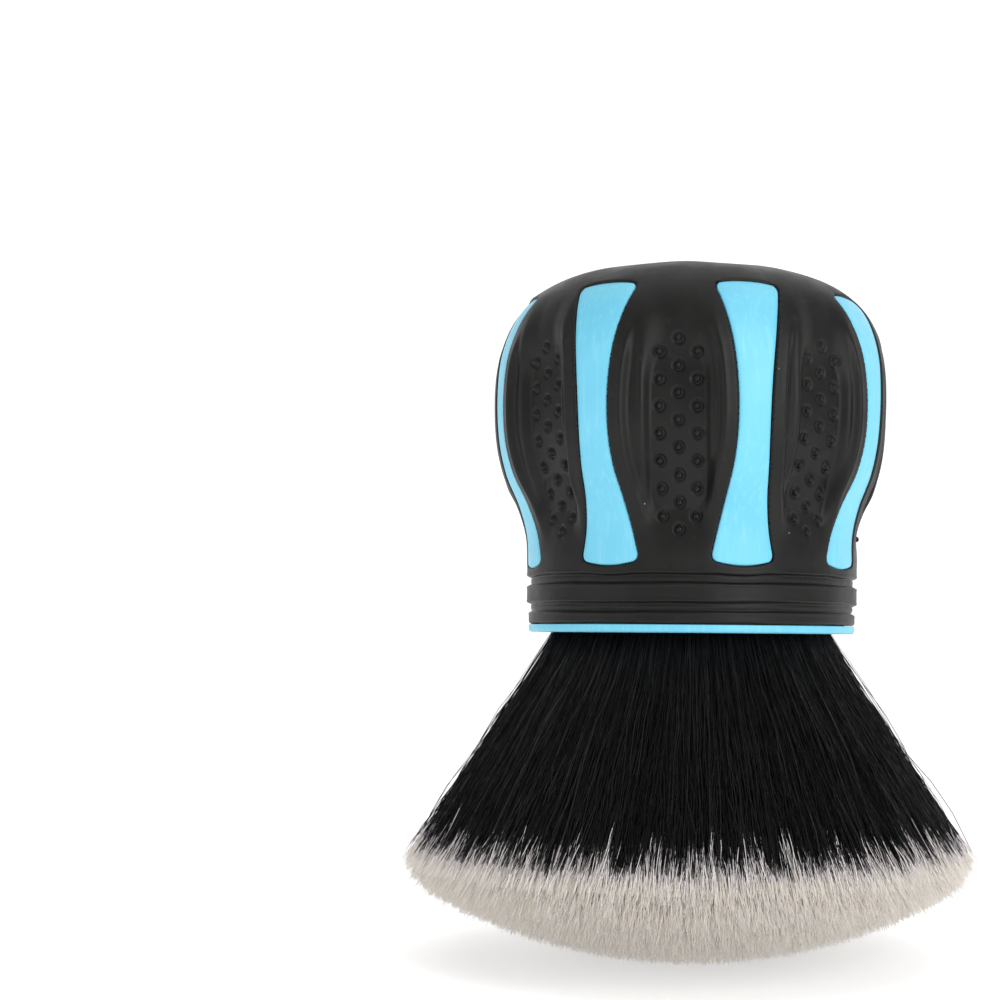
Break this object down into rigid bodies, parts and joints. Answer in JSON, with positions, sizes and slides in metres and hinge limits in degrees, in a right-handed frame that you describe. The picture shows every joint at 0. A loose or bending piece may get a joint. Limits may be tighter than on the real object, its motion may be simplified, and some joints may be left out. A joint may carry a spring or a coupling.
{
  "type": "fade brush",
  "caption": "Short round fade brush: lobed soft rubber bulb grip over a blue plastic core, and a flared dense bundle of black filaments with cream domed tips.",
  "frame": {"origin": "on the brush's axis at the lowest filament tips, in the middle of the face", "axes": "+Z along the brush's axis, from the filament tips to the crown of the grip; -Y is the direction that one lobe of the grip faces"},
  "size_m": [0.0884, 0.0884, 0.1056],
  "materials": {
    "grip_rubber": "matte",
    "core_plastic": "satin",
    "filament": "satin",
    "cup_plastic": "matte",
    "resin": "gloss",
    "adhesive": "satin",
    "band": "matte"
  },
  "bodies": {
    "root": {"grip_sleeve": "grip_rubber", "handle_core": "core_plastic", "tuft_cup": "cup_plastic", "resin_plug": "resin", "adhesive_bead": "adhesive", "binding_band": "band", "filament_lock_centre": "filament", "filament_lock_middle_01": "filament", "filament_lock_middle_02": "filament", "filament_lock_middle_03": "filament", "filament_lock_middle_04": "filament", "filament_lock_middle_05": "filament", "filament_lock_middle_06": "filament", "filament_lock_outer_01": "filament", "filament_lock_outer_02": "filament", "filament_lock_outer_03": "filament", "filament_lock_outer_04": "filament", "filament_lock_outer_05": "filament", "filament_lock_outer_06": "filament", "filament_lock_outer_07": "filament", "filament_lock_outer_08": "filament", "filament_lock_outer_09": "filament", "filament_lock_outer_10": "filament", "filament_lock_outer_11": "filament", "filament_lock_outer_12": "filament"}
  },
  "joints": []
}
